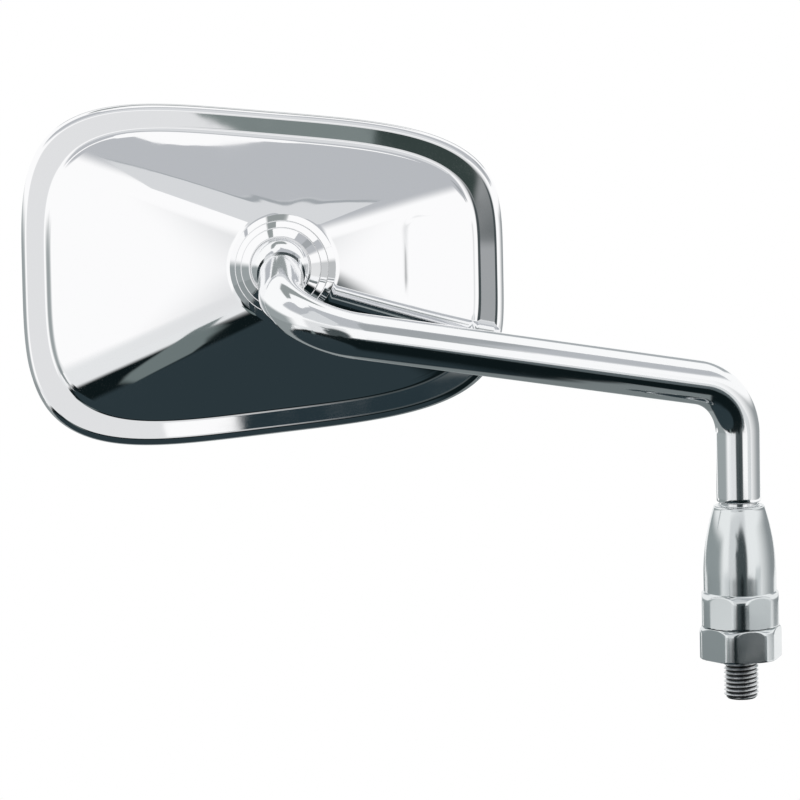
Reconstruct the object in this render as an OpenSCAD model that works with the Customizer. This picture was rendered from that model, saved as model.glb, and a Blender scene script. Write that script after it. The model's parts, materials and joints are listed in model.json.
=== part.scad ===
// Motorcycle mirror: a chromed head on a ball joint, a bent stem and a clamping stud foot.
// Millimetres. The origin is on the stud axis, where the foot seats on the handlebar perch.
// +Z runs up the stem, the back of the head faces -Y and the glass faces +Y.

/* [Foot] */
// Outside diameter of the mounting thread
stud_d = 10; // [8:0.5:12]
// Length of the mounting thread below the seat
stud_l = 12; // [8:0.5:30]
// Width across the flats of the lower hexagon
base_hex_af = 22; // [20:0.5:24]
// Diameter of the round bar that the lower hexagon is milled on
base_bar_d = 23.8; // [22.5:0.1:26]
// Height of the lower hexagon
base_hex_h = 9.4; // [8:0.2:14]
// Radius of the crown that rounds the top corners of the lower hexagon
base_crown_r = 2.1; // [1.8:0.1:3]
// Height of that crown
base_crown_h = 1.8; // [1:0.1:1.8]
// Diameter of the upper thread, inside the clamp nut
boss_d = 16; // [15.5:0.1:16.5]
// Length of the upper thread
boss_h = 17; // [13:0.5:19]
// Turn of the lower hexagon about the stem
base_hex_turn = 10; // [-30:1:30]

/* [Clamp nut] */
// Width across the flats of the clamp nut
nut_hex_af = 22; // [21:0.25:23]
// Diameter of the round bar that the clamp nut is milled on
nut_bar_d = 23.6; // [23.2:0.1:25]
// Height of the milled hexagon of the clamp nut
nut_hex_h = 7.4; // [5:0.2:9]
// Radius of the crown between the hexagon and the bullet
nut_crown_r = 2.8; // [2.5:0.1:4]
// Diameter of the bullet above the hexagon
nut_d = 20.8; // [20:0.2:21.4]
// Diameter of the bullet at its top edge
nut_top_d = 14.4; // [13.8:0.2:17]
// Whole height of the clamp nut
nut_h = 34.6; // [33:0.2:40]
// Height at which the bullet starts to round in
nut_round_from = 14.3; // [12:0.5:18]
// Rounding of the bullet's top edge
nut_top_r = 0.6; // [0.4:0.1:0.8]
// Turn of the clamp nut's hexagon about the stem
nut_hex_turn = 25; // [-30:1:30]
// Play between the clamp nut and the lower hexagon
nut_gap = 0.2; // [0.1:0.05:0.5]

/* [Swivel] */
// Diameter of the turned-down foot of the stem
foot_d = 11; // [9:0.25:11.4]
// Bare foot that shows between the clamp nut and the stem's shoulder
foot_show = 1; // [0.5:0.1:3]
// Height of the collar that is pinned on the foot
collar_h = 5; // [4.5:0.25:7]
// Thickness of each friction washer
washer_t = 1; // [0.5:0.1:1.5]
// Diameter of the cross pin through collar and foot
pin_d = 2.5; // [1.5:0.25:3.5]

/* [Stem] */
// Diameter of the stem
stem_d = 12.6; // [12:0.1:13.5]
// Radius of both bends, along the middle of the stem
bend_r = 16; // [13:0.5:18]
// Loss of diameter where the bar is bent
bend_draw = 0.04; // [0.04:0.02:0.3]
// Height of the lower corner above the seat
corner_z = 78.1; // [70:0.5:110]
// Reach of the arm between its corners, seen from above
arm_reach = 140.7; // [120:0.5:180]
// Swing of the arm towards the rider's side of the bar
arm_swing = 25.2; // [10:0.2:35]
// Climb of the arm
arm_rise = 11.2; // [4:0.2:20]
// Length of the neck from the upper corner to the ball
neck_l = 43.6; // [40:0.2:60]
// Climb of the neck
neck_rise = 15.4; // [8:0.2:18]
// Turn of the neck away from straight ahead
neck_turn = 1.5; // [-3:0.5:4]

/* [Ball joint] */
// Diameter of the ball
ball_d = 17; // [16.6:0.1:17.4]
// Diameter of the mouth that holds the ball in
mouth_d = 16.4; // [16:0.05:16.5]
// Wall of the nylon liner behind the ball
liner_t = 1.2; // [0.8:0.1:1.4]
// Outside diameter of the pressure cup
cup_d = 22; // [21.4:0.1:22.4]
// Thickness of the cup behind the ball
cup_wall = 3.2; // [2.8:0.1:3.6]
// Thickness of the spring wire
wire_d = 1.8; // [1.2:0.1:2]
// Working turns of the spring
spring_turns = 3; // [2:0.5:4]
// Middle radius of the spring
spring_r = 7; // [6.6:0.1:7.2]
// Thread size of the screw that holds the ball
ball_screw_d = 5; // [4:0.5:6]
// Diameter of that screw's head
screw_head_d = 8.4; // [7.6:0.1:8.8]
// Depth of that head's seat in the ball
screw_sink = 4.4; // [4:0.1:4.8]

/* [Head place] */
// Turn of the head about the upright, against straight back
head_yaw = -4.4; // [-10:0.2:4]
// Backward lean of the head
head_tilt = 4.5; // [0:0.5:8]
// Distance of the ball to the right of the head's middle
ball_off_x = 8.1; // [0:0.1:14]
// Distance of the ball above the head's middle
ball_off_y = 1.7; // [-4:0.1:6]

/* [Head outline] */
// Width of the head
head_w = 138.2; // [120:0.2:160]
// Height of the head at its middle
head_h = 92.6; // [80:0.2:110]
// Slope of the long edges, which makes the outer side taller
edge_slope = 6; // [0:0.25:9]
// Squareness of the corners at the tall side: 2 is an ellipse, more is squarer
corner_power_tall = 3.65; // [3:0.05:6]
// Squareness of the corners at the low side
corner_power_low = 4.15; // [3:0.05:6]

/* [Head section] */
// Depth of the flat rim band behind the ball's middle
band_depth = 21; // [20:0.5:26]
// Width of the flat rim band
band_w = 4.4; // [3:0.2:7]
// Radius of the outer edge of the rim
rim_r = 2.2; // [1.5:0.1:3]
// Radius of the hollow between the dome and the band
cove_r = 1.8; // [1:0.1:2.5]
// Depth of the rim's side wall
side_h = 6; // [5:0.2:8]
// Wall of the housing
wall = 2.2; // [1.8:0.1:2.6]
// Wall of the rim round the glass
rim_wall = 1.8; // [1.4:0.1:2.2]
// Reach of the lip over the edge of the glass
lip_w = 2.6; // [2.2:0.1:3.2]
// Thickness of the lip
lip_t = 1; // [0.8:0.1:1.4]
// Fullness of the dome: 1 is straight, more is rounder
dome_power = 1.15; // [1:0.05:1.6]

/* [Collar rings] */
// Diameter of the outer ring
ring_1_d = 29.9; // [29.6:0.1:31]
// Diameter of the middle ring
ring_2_d = 26; // [25.8:0.1:27]
// Diameter of the inner ring
ring_3_d = 22.2; // [21.8:0.1:22.8]
// Slope height of the outer ring
ring_1_h = 2.2; // [2:0.1:2.4]
// Slope height of the middle ring
ring_2_h = 1.9; // [1.7:0.1:2.1]
// Slope height of the inner ring
ring_3_h = 2.2; // [2:0.1:2.4]
// Ledge between two rings
ring_ledge = 0.25; // [0.15:0.05:0.35]
// Depth of the foot of the collar behind the ball's middle
ring_depth = 6.5; // [6:0.1:7]
// Height of the mouth above the ball's middle
mouth_h = 2.1; // [1.8:0.05:2.2]
// Flat lip round the mouth
mouth_lip = 0.5; // [0.3:0.1:0.8]

/* [Glass] */
// Thickness of the glass
glass_t = 2; // [1.8:0.1:2.6]
// Radius of the convex glass
glass_r = 1200; // [1000:50:2000]
// Width of the rubber seat round the glass
gasket_w = 1.6; // [1.2:0.1:2.4]
// Play between the housing's wall and the rubber seat
gasket_fit = 0.05; // [0.02:0.01:0.1]
// Depth of the rubber round the edge of the glass
gasket_bite = 0.6; // [0.4:0.05:0.8]
// Depth of the middle of the glass behind the front of the lip
glass_sink = 0.75; // [0.7:0.05:0.9]

/* [Retainer] */
// Distance of each retainer screw from the joint's axis
screw_r = 17; // [16.6:0.1:18]
// Diameter of each screw boss
boss_ear_d = 7; // [6.5:0.1:8]
// Thread diameter of the retainer screws
screw_d = 3; // [2.5:0.1:3.5]
// Length of the retainer screws under the head
screw_l = 7; // [5:0.5:7.5]
// Thickness of the retainer plate
plate_t = 1.6; // [1:0.1:2]
// Room for the spring between cup and plate
spring_room = 6; // [5:0.1:6.5]
// Width of the foam pad behind the glass
foam_w = 64; // [40:1:80]
// Height of the foam pad
foam_h = 40; // [30:1:50]

/* [Clearances] */
// Radial play of a running fit
run_fit = 0.05; // [0.03:0.01:0.08]
// Radial gap where two moving pieces pass without touching
free_gap = 0.3; // [0.25:0.05:0.4]

/* [Hidden] */
$fn = 96;

// Heights up the stem
nut_z = base_hex_h + nut_gap;
boss_top = base_hex_h + boss_h;
collar_z = boss_top + washer_t + run_fit;
collar_top = collar_z + collar_h;
nut_ledge = collar_top + washer_t + run_fit;
nut_top = nut_z + nut_h;
shoulder_z = nut_top + foot_show;
nut_bore_d = boss_d + 2 * run_fit;
collar_d = nut_bore_d - 2 * free_gap;

// Corners of the stem's middle line
corner_1 = [0, 0, corner_z];
corner_2 = corner_1 + arm_reach * [-cos(arm_swing), -sin(arm_swing), tan(arm_rise)];
neck_dir = [-cos(neck_rise) * sin(neck_turn), cos(neck_rise) * cos(neck_turn), sin(neck_rise)];
ball_pos = corner_2 + neck_l * neck_dir;
arm_dir = unit(corner_2 - corner_1);

// Depths behind the ball, along the head's own axis, which points out of its back
ball_r = ball_d / 2;
seat_r = ball_r + run_fit;
spigot_d = 9;
ball_shoulder = 0.4;
spigot_l = sqrt(pow(ball_r, 2) - pow(stem_d / 2 + ball_shoulder, 2));
liner_out_r = seat_r + liner_t;
cup_in_r = liner_out_r + run_fit;
cup_front = -4.2;
cup_back = -cup_in_r - cup_wall;
bore_r = cup_d / 2 + run_fit;
plate_z = cup_back - spring_room;
band_z = -band_depth;
lip_in_z = band_z - rim_r - side_h + lip_t;
lip_out_z = lip_in_z - lip_t;
rim_floor_z = band_z - rim_r - 0.6;
glass_inset = rim_wall + gasket_fit + gasket_bite;
glass_apex = lip_out_z + glass_sink;
screw_head_h = 1.8;
foam_gap = 0.3;

// Rim points round the head
POINTS = 80;
DOME_STEPS = 9;
INNER_STEPS = 6;

function unit(v) = v / norm(v);
function signed_power(x, p) = sign(x) * pow(abs(x), p);

// A point of the head's outline, moved inwards by the inset
function rim_point(a, inset) =
    let (bow = 2 / (cos(a) < 0 ? corner_power_tall : corner_power_low),
         u = (head_w / 2 - inset) * signed_power(cos(a), bow),
         half = head_h / 2 - inset - tan(edge_slope) * u)
    [u - ball_off_x, half * signed_power(sin(a), bow) - ball_off_y];

function outline(inset) = [for (i = [0 : POINTS - 1]) rim_point(360 * i / POINTS, inset)];

// The direction in which the outline faces there, which stays level along a long edge
function rim_facing(a, inset) =
    let (d = rim_point(a + 0.4, inset) - rim_point(a - 0.4, inset))
    [d[1], -d[0]] / norm(d);

// A ring of the housing between the collar's circle (t = 0) and an inset outline (t = 1).
// Each straight line of the dome joins two points that face the same way, so the four sides
// come out flat and the corners conical.
function ring(t, inset, z) =
    [for (i = [0 : POINTS - 1])
        let (a = 360 * i / POINTS, p = rim_point(a, inset), c = throat_r * rim_facing(a, inset))
        [c[0] + t * (p[0] - c[0]), c[1] + t * (p[1] - c[1]), z]];

throat_r = ring_1_d / 2 - 0.5;
throat_z = -ring_depth + 0.15;
dome_inset = rim_r + band_w + cove_r;
dome_foot = band_z + cove_r / 2;
function dome_z(t) = throat_z + (dome_foot - throat_z) * pow(t, dome_power);

// Points and faces of a closed tube of rings
module ring_solid(rings) {
    n = len(rings[0]);
    m = len(rings);
    polyhedron(
        points = [for (r = rings) for (p = r) p],
        faces = [for (j = [0 : m - 1]) for (i = [0 : n - 1])
            let (a = j * n + i, b = j * n + (i + 1) % n,
                 c = ((j + 1) % m) * n + (i + 1) % n, d = ((j + 1) % m) * n + i)
            each [[a, b, c], [a, c, d]]],
        convexity = 8);
}

// Turns the Z axis of its children into the direction z, with x as near as it can be
module along(origin, z, x = [0, 0, 1]) {
    w = unit(z);
    v = unit(cross(w, x));
    u = cross(v, w);
    multmatrix([[u[0], v[0], w[0], origin[0]], [u[1], v[1], w[1], origin[1]],
                [u[2], v[2], w[2], origin[2]], [0, 0, 0, 1]])
        children();
}

// A straight run of round bar up the Z axis, with its children at the far end
module straight(length, d, chamfer = 0) {
    rotate_extrude() polygon([[0, 0], [d / 2 - chamfer, 0], [d / 2, chamfer],
        [d / 2, length], [0, length]]);
    translate([0, 0, length]) children();
}

// A bend of round bar from +Z towards +X, with its children at the far end.
// The bar draws in a little where it is bent, and each end laps into the straight bar.
module bend(turn, radius, d) {
    lap = 0.5;
    translate([radius, 0, 0]) {
        multmatrix([[-1, 0, 0, 0], [0, 0, 1, 0], [0, 1, 0, 0], [0, 0, 0, 1]]) rotate(-lap)
            rotate_extrude(angle = turn + 2 * lap) translate([radius, 0])
                circle(d = d - bend_draw);
        rotate([0, turn, 0]) translate([-radius, 0, 0]) children();
    }
}

// The head's frame: X to the head's right, Y up, Z out of its back, from the ball's middle
module at_head() {
    translate(ball_pos) rotate([90 - head_tilt, 0, head_yaw]) children();
}

// The ball's frame: Z from the ball's middle out along the neck
module at_ball() {
    along(ball_pos, -neck_dir, [0, 0, 1]) children();
}

// A hexagon milled on a round bar, whose corners the crown rounds at the top
module hex_bar(af, bar_d, strip_h, crown_r, crown_h) {
    edge = 0.4;
    intersection() {
        cylinder(d = af / cos(30), h = strip_h + crown_h, $fn = 6);
        rotate_extrude() {
            polygon([[0, 0], [bar_d / 2 - edge, 0], [bar_d / 2, edge], [bar_d / 2, strip_h],
                [0, strip_h]]);
            translate([0, strip_h]) intersection() {
                square([bar_d / 2, crown_h]);
                union() {
                    translate([bar_d / 2 - crown_r, 0]) circle(r = crown_r);
                    square([bar_d / 2 - crown_r, crown_h]);
                }
            }
        }
    }
}

// Foot
module adapter() {
    tip = 1.2;
    relief = 0.8;
    groove_h = 1.6;
    color("silver") union() {
        rotate(base_hex_turn) hex_bar(base_hex_af, base_bar_d, base_hex_h - base_crown_h,
            base_crown_r, base_crown_h);
        rotate_extrude() polygon([[0, -stud_l], [stud_d / 2 - tip, -stud_l],
            [stud_d / 2, -stud_l + tip], [stud_d / 2, 0.5], [0, 0.5]]);
        rotate_extrude() polygon([[0, base_hex_h - 0.5], [boss_d / 2 - relief, base_hex_h - 0.5],
            [boss_d / 2 - relief, base_hex_h + groove_h],
            [boss_d / 2, base_hex_h + groove_h + relief],
            [boss_d / 2, boss_top - relief], [boss_d / 2 - relief, boss_top], [0, boss_top]]);
    }
}

// The bullet's outline: straight, then one arc to the rounded top edge
module nut_profile() {
    rise = nut_h - nut_round_from;
    drop = (nut_d - nut_top_d) / 2;
    arc_r = (rise * rise + drop * drop) / (2 * drop);
    square([nut_d / 2, nut_round_from]);
    intersection() {
        translate([0, nut_round_from]) square([nut_d / 2, rise - nut_top_r]);
        translate([nut_d / 2 - arc_r, nut_round_from]) circle(r = arc_r, $fn = 360);
    }
    translate([nut_top_d / 2 - nut_top_r, nut_h - nut_top_r]) circle(r = nut_top_r);
    translate([0, nut_h - nut_top_r]) square([nut_top_d / 2 - nut_top_r, nut_top_r]);
}

module clamp_nut() {
    lead_in = 0.6;
    crown_lap = 0.2;
    crown_in = (nut_bar_d - nut_d) / 2 + crown_lap;
    crown_h = sqrt(2 * nut_crown_r * crown_in - crown_in * crown_in);
    color("gainsboro") translate([0, 0, nut_z]) difference() {
        union() {
            rotate_extrude() nut_profile();
            rotate(nut_hex_turn)
                hex_bar(nut_hex_af, nut_bar_d, nut_hex_h, nut_crown_r, crown_h);
        }
        translate([0, 0, -1]) cylinder(d = nut_bore_d, h = nut_ledge - nut_z + 1);
        cylinder(d = foot_d + 2 * free_gap, h = nut_h + 1);
        translate([0, 0, -0.01])
            cylinder(d1 = nut_bore_d + 2 * lead_in, d2 = nut_bore_d, h = lead_in);
    }
}

module ring_washer(od, id, t) {
    difference() {
        cylinder(d = od, h = t);
        translate([0, 0, -1]) cylinder(d = id, h = t + 2);
    }
}

module lower_washer() {
    color("goldenrod") translate([0, 0, boss_top]) ring_washer(collar_d, foot_d / 2, washer_t);
}

module upper_washer() {
    color("goldenrod") translate([0, 0, collar_top])
        ring_washer(collar_d, foot_d + free_gap, washer_t);
}

module swivel_collar() {
    edge = 0.4;
    color("dimgray") translate([0, 0, collar_z]) difference() {
        rotate_extrude() polygon([[foot_d / 2, 0], [collar_d / 2 - edge, 0],
            [collar_d / 2, edge], [collar_d / 2, collar_h - edge],
            [collar_d / 2 - edge, collar_h], [foot_d / 2, collar_h]]);
        pin_hole();
    }
}

// The cross hole, from the collar's underside
module pin_hole() {
    translate([0, 0, collar_h / 2]) rotate([90, 0, 0])
        cylinder(d = pin_d, h = collar_d + 2, center = true);
}

module collar_pin() {
    color("gray") translate([0, 0, collar_z + collar_h / 2]) rotate([90, 0, 0])
        cylinder(d = pin_d, h = collar_d - 1, center = true);
}

// Stem
module stem() {
    foot_edge = 0.5;
    turn_1 = acos(arm_dir[2]);
    turn_2 = acos(arm_dir * neck_dir);
    tangent_1 = bend_r * tan(turn_1 / 2);
    tangent_2 = bend_r * tan(turn_2 / 2);
    out_1 = [-cos(arm_swing) * cos(turn_1), -sin(arm_swing) * cos(turn_1), -sin(turn_1)];
    side_1 = cross(arm_dir, out_1);
    roll_2 = atan2(neck_dir * side_1, neck_dir * out_1);
    low_l = corner_z - tangent_1 - shoulder_z;
    arm_l = norm(corner_2 - corner_1) - tangent_1 - tangent_2;
    neck_bare_l = neck_l - tangent_2 - spigot_l;
    color("whitesmoke") difference() {
        union() {
            translate([0, 0, collar_z]) cylinder(d = foot_d, h = shoulder_z - collar_z);
            translate([0, 0, shoulder_z]) rotate(180 + arm_swing)
                straight(low_l, stem_d, foot_edge) bend(turn_1, bend_r, stem_d)
                straight(arm_l, stem_d) rotate(roll_2) bend(turn_2, bend_r, stem_d)
                straight(neck_bare_l, stem_d) cylinder(d = spigot_d, h = spigot_l);
        }
        translate([0, 0, collar_z]) pin_hole();
        at_ball() translate([0, 0, -1]) cylinder(d = ball_screw_d, h = 13);
    }
}

// Ball joint

module stem_ball() {
    color("lightgray") at_ball() difference() {
        sphere(d = ball_d);
        translate([0, 0, spigot_l]) cylinder(d = ball_d, h = ball_r);
        cylinder(d = spigot_d, h = ball_r);
        translate([0, 0, -ball_r]) cylinder(d = ball_screw_d + 0.6, h = ball_d);
        translate([0, 0, -ball_r - 1]) cylinder(d = screw_head_d + 0.8, h = 1 + screw_sink);
    }
}

// Socket screw from the ball's back into the end of the neck
module ball_screw() {
    head_h = 3;
    color("dimgray") at_ball() translate([0, 0, -ball_r + screw_sink]) difference() {
        union() {
            cylinder(d = ball_screw_d, h = 14);
            translate([0, 0, -head_h]) cylinder(d = screw_head_d, h = head_h);
        }
        translate([0, 0, -head_h - 1]) cylinder(d = 4.6, h = 2.8, $fn = 6);
    }
}

// A bowl behind the ball, cut at polar angles measured from the head's axis
module ball_liner() {
    front_angle = 122;
    back_angle = 160;
    front = liner_out_r * cos(front_angle);
    back = liner_out_r * cos(back_angle);
    color("ivory") at_head() intersection() {
        difference() {
            sphere(r = liner_out_r);
            sphere(r = seat_r);
        }
        translate([0, 0, back]) cylinder(r = liner_out_r + 1, h = front - back);
    }
}

module pressure_cup() {
    color("darkgray") at_head() difference() {
        translate([0, 0, cup_back]) cylinder(d = cup_d, h = cup_front - cup_back);
        sphere(r = cup_in_r);
        translate([0, 0, cup_back - 1]) difference() {
            cylinder(r = spring_r + wire_d, h = 2);
            translate([0, 0, -1]) cylinder(r = spring_r - wire_d, h = 4);
        }
        translate([0, 0, cup_back - 1]) cylinder(d = 3, h = 10);
    }
}

// Round wire wound with closed ends between the cup and the plate
module spring() {
    sides = 8;
    steps = 20;
    low = plate_z + wire_d / 2;
    high = cup_back + 1 - wire_d / 2 - free_gap;
    turns = spring_turns + 1;
    total = turns * steps;
    function wind(k) = min(1, max(0, (k / steps - 0.5) / (turns - 1)));
    centres = [for (k = [0 : total])
        [spring_r * cos(360 * k / steps), spring_r * sin(360 * k / steps),
         low + (high - low) * wind(k)]];
    color("slategray") at_head() polyhedron(
        points = [for (k = [0 : total]) for (i = [0 : sides - 1])
            let (a = 360 * k / steps, b = 360 * i / sides, out = wire_d / 2 * cos(b))
            centres[k] + [out * cos(a), out * sin(a), wire_d / 2 * sin(b)]],
        faces = concat(
            [[for (i = [sides - 1 : -1 : 0]) i]],
            [for (k = [0 : total - 1]) for (i = [0 : sides - 1])
                let (a = k * sides + i, b = k * sides + (i + 1) % sides)
                each [[a, b, b + sides], [a, b + sides, a + sides]]],
            [[for (i = [0 : sides - 1]) total * sides + i]]),
        convexity = 8);
}

// Head
// The stepped collar, the ball's seat and the tube that holds the cup, turned as one
module socket_profile() {
    r1 = ring_1_d / 2;
    r2 = ring_2_d / 2;
    r3 = ring_3_d / 2;
    z3 = mouth_h - ring_3_h;
    z2 = z3 - ring_ledge - ring_2_h;
    z1 = z2 - ring_ledge - ring_1_h;
    core_r = seat_r - 3;
    tube_r = bore_r + 2;
    foot_z = -ring_depth - wall;
    neck_z = -1.2;
    bore_z = -3;
    difference() {
        polygon([[core_r, mouth_h], [mouth_d / 2 + mouth_lip, mouth_h], [r3, z3],
            [r3, z3 - ring_ledge], [r3 + ring_ledge, z3 - ring_ledge], [r2, z2],
            [r2, z2 - ring_ledge], [r2 + ring_ledge, z2 - ring_ledge], [r1, z1],
            [r1, foot_z], [tube_r, foot_z], [tube_r, plate_z], [core_r, plate_z]]);
        circle(r = seat_r, $fn = 180);
        translate([0, neck_z]) square([seat_r, -neck_z]);
        polygon([[0, neck_z], [seat_r, neck_z], [bore_r, bore_z], [bore_r, plate_z - 1],
            [0, plate_z - 1]]);
        square([mouth_d / 2, 10]);
    }
}

module housing() {
    outer = concat(
        [for (i = [0 : DOME_STEPS]) ring(i / DOME_STEPS, dome_inset, dome_z(i / DOME_STEPS))],
        [ring(1, dome_inset - cove_r * 0.4, band_z + cove_r * 0.2),
         ring(1, dome_inset - cove_r * 0.75, band_z + cove_r * 0.04),
         ring(1, dome_inset - cove_r * 1.1, band_z), ring(1, rim_r, band_z)],
        [for (a = [22.5 : 22.5 : 90])
            ring(1, rim_r * (1 - sin(a)), band_z - rim_r * (1 - cos(a)))],
        [for (a = [0 : 30 : 90])
            ring(1, lip_t * (1 - cos(a)), lip_in_z - lip_t * sin(a))],
        [ring(1, lip_w, lip_out_z), ring(1, lip_w, lip_in_z)]);
    inner = concat(
        [ring(1, rim_wall, lip_in_z), ring(1, rim_wall, rim_floor_z),
         ring(1, rim_r + 0.8, band_z - wall), ring(1, dome_inset - cove_r, band_z - wall)],
        [for (i = [INNER_STEPS : -1 : 0])
            ring(i / INNER_STEPS, dome_inset, dome_z(i / INNER_STEPS) - wall * 1.1)]);
    color("gainsboro") at_head() difference() {
        union() {
            ring_solid(concat(outer, inner));
            rotate_extrude() socket_profile();
            screw_ears();
        }
        at_screws() translate([0, 0, plate_z - 1]) cylinder(d = screw_d - 0.5, h = screw_l + 2);
        translate([0, 0, plate_z - 1]) cylinder(r = bore_r, h = 8);
    }
}

module at_screws() {
    for (k = [0 : 3]) rotate(45 + 90 * k) translate([screw_r, 0, 0]) children();
}

// A boss for each retainer screw, joined to the cup's tube
module screw_ears() {
    ear_h = screw_l + 1;
    for (k = [0 : 3]) rotate(45 + 90 * k) translate([0, 0, plate_z]) {
        translate([screw_r, 0, 0]) cylinder(d = boss_ear_d, h = ear_h);
        translate([bore_r + 1, -boss_ear_d / 2, 0])
            cube([screw_r - bore_r - 1, boss_ear_d, ear_h]);
    }
}

module retainer_plate() {
    color("silver") at_head() translate([0, 0, plate_z - plate_t]) difference() {
        union() {
            cylinder(r = bore_r + 2, h = plate_t);
            at_screws() cylinder(d = boss_ear_d, h = plate_t);
            for (k = [0 : 3]) rotate(45 + 90 * k) translate([0, -boss_ear_d / 2, 0])
                cube([screw_r, boss_ear_d, plate_t]);
        }
        translate([0, 0, -1]) cylinder(d = 8, h = plate_t + 2);
        at_screws() translate([0, 0, -1]) cylinder(d = screw_d + 0.4, h = plate_t + 2);
    }
}

module retainer_screw(k) {
    color("gray") at_head() rotate(45 + 90 * k)
        translate([screw_r, 0, plate_z - plate_t]) difference() {
            union() {
                cylinder(d = screw_d - 0.5, h = screw_l + plate_t);
                translate([0, 0, -screw_head_h]) cylinder(d1 = 4.4, d2 = 5.6, h = screw_head_h);
            }
            translate([-0.5, -2, -screw_head_h - 0.1]) cube([1, 4, 1]);
            translate([-2, -0.5, -screw_head_h - 0.1]) cube([4, 1, 1]);
        }
}

// Glass
module glass_blank(inset) {
    translate([0, 0, glass_apex - 1]) linear_extrude(12) polygon(outline(inset));
}

module glass_sheet() {
    translate([-ball_off_x, -ball_off_y, glass_apex + glass_r]) rotate([90, 0, 0]) difference() {
        sphere(r = glass_r, $fn = 540);
        sphere(r = glass_r - glass_t, $fn = 540);
    }
}

module glass() {
    color("lightblue") at_head() intersection() {
        glass_blank(glass_inset);
        glass_sheet();
    }
}

module glass_gasket() {
    depth = rim_floor_z - lip_in_z - 2 * gasket_fit;
    color("black") at_head() difference() {
        translate([0, 0, lip_in_z + gasket_fit]) linear_extrude(depth) difference() {
            polygon(outline(rim_wall + gasket_fit));
            polygon(outline(rim_wall + gasket_fit + gasket_w));
        }
        intersection() {
            glass_blank(glass_inset);
            glass_sheet();
        }
    }
}

module foam_pad() {
    top = plate_z - plate_t - screw_head_h - foam_gap;
    glass_room = 0.3;
    low = glass_apex + glass_t + glass_room + pow(norm([foam_w, foam_h]) / 2, 2) / (2 * glass_r);
    corner = 6;
    color("dimgray") at_head() translate([-ball_off_x, -ball_off_y, low])
        linear_extrude(top - low) hull()
            for (x = [-1, 1], y = [-1, 1])
                translate([x * (foam_w / 2 - corner), y * (foam_h / 2 - corner)]) circle(corner);
}

adapter();
clamp_nut();
lower_washer();
upper_washer();
swivel_collar();
collar_pin();
stem();
stem_ball();
ball_screw();
ball_liner();
pressure_cup();
spring();
housing();
retainer_plate();
retainer_screw(0);  // retainer_screw_1
retainer_screw(1);  // retainer_screw_2
retainer_screw(2);  // retainer_screw_3
retainer_screw(3);  // retainer_screw_4
foam_pad();
glass();
glass_gasket();
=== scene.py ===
"""Motorcycle mirror: its finished pieces, finishes and studio stage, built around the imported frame."""

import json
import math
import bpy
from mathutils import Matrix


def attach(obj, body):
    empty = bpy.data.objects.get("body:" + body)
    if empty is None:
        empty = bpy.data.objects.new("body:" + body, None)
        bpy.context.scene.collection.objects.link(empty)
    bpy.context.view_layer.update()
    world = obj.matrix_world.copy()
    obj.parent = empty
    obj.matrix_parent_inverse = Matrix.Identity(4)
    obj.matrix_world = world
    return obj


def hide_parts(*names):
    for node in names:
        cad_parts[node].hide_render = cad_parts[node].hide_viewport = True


bl_info = {
    "name": "Motorcycle mirror",
    "version": (1, 0, 0),
    "blender": (4, 5, 0),
    "location": "3D View > Sidebar > Mirror",
    "description": "Builds a chromed motorcycle mirror on a ball joint around its CAD frame",
    "category": "Object",
}

import bmesh
import bpy
from bpy.props import FloatProperty, FloatVectorProperty, PointerProperty
from mathutils import Matrix, Vector

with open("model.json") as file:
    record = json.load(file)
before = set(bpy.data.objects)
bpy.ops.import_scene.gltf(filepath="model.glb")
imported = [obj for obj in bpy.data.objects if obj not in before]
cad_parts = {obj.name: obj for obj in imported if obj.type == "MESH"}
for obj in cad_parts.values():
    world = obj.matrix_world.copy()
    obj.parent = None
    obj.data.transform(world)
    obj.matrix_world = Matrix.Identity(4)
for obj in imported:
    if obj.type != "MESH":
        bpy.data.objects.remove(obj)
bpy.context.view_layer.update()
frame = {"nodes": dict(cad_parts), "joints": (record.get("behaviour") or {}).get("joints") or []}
MM = 0.001
JOINTS = {j["name"]: j for j in frame["joints"]}
BALL = Vector(JOINTS["mirror_tilt"]["pos_m"])
HEAD_RIGHT = Vector(JOINTS["mirror_tilt"]["axis"]).normalized()
HEAD_BACK = Vector(JOINTS["mirror_roll"]["axis"]).normalized()
HEAD_UP = HEAD_BACK.cross(HEAD_RIGHT)
# How far a point stands beside an edge or a rounding, to hold the shading on both sides
HOLD = 0.06 * MM
# How strongly the head's corners draw points of its outline
CORNER_WEIGHT = 40 * MM
# Points round the shell, and rings from its collar to the foot of its dome
SHELL_COLUMNS, DOME_STEPS = 440, 56
# Radius and drop below the mouth of the feet of the collar's two upper cones
COLLAR_FEET = ((11.1 * MM, 2.2 * MM), (13.0 * MM, 4.35 * MM))
# Depth of a thread as a share of its pitch
THREAD_DEPTH = 0.58
# Size of the hazed patches on chrome
HAZE_MM = 14
# Middle of the rings of cards, in plan
AROUND = (-0.13, -0.03)


# Sizes and colours that a user would change

def length(name, text, mm):
    """A length property, given in millimetres and kept in metres."""
    return FloatProperty(name=name, description=text, default=mm * MM, unit="LENGTH", precision=5)


def turn(name, text, degrees):
    """An angle property, given in degrees."""
    return FloatProperty(name=name, description=text, default=math.radians(degrees), subtype="ANGLE")


def linear(code):
    """An sRGB hex code as linear red, green, blue and alpha."""
    parts = [int(code[i:i + 2], 16) / 255 for i in (1, 3, 5)]
    return [c / 12.92 if c <= 0.04045 else ((c + 0.055) / 1.055) ** 2.4 for c in parts] + [1.0]


def colour(name, text, code):
    """A colour property from an sRGB hex code."""
    return FloatVectorProperty(name=name, description=text, default=linear(code), size=4,
                               subtype="COLOR", min=0, max=1)


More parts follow.
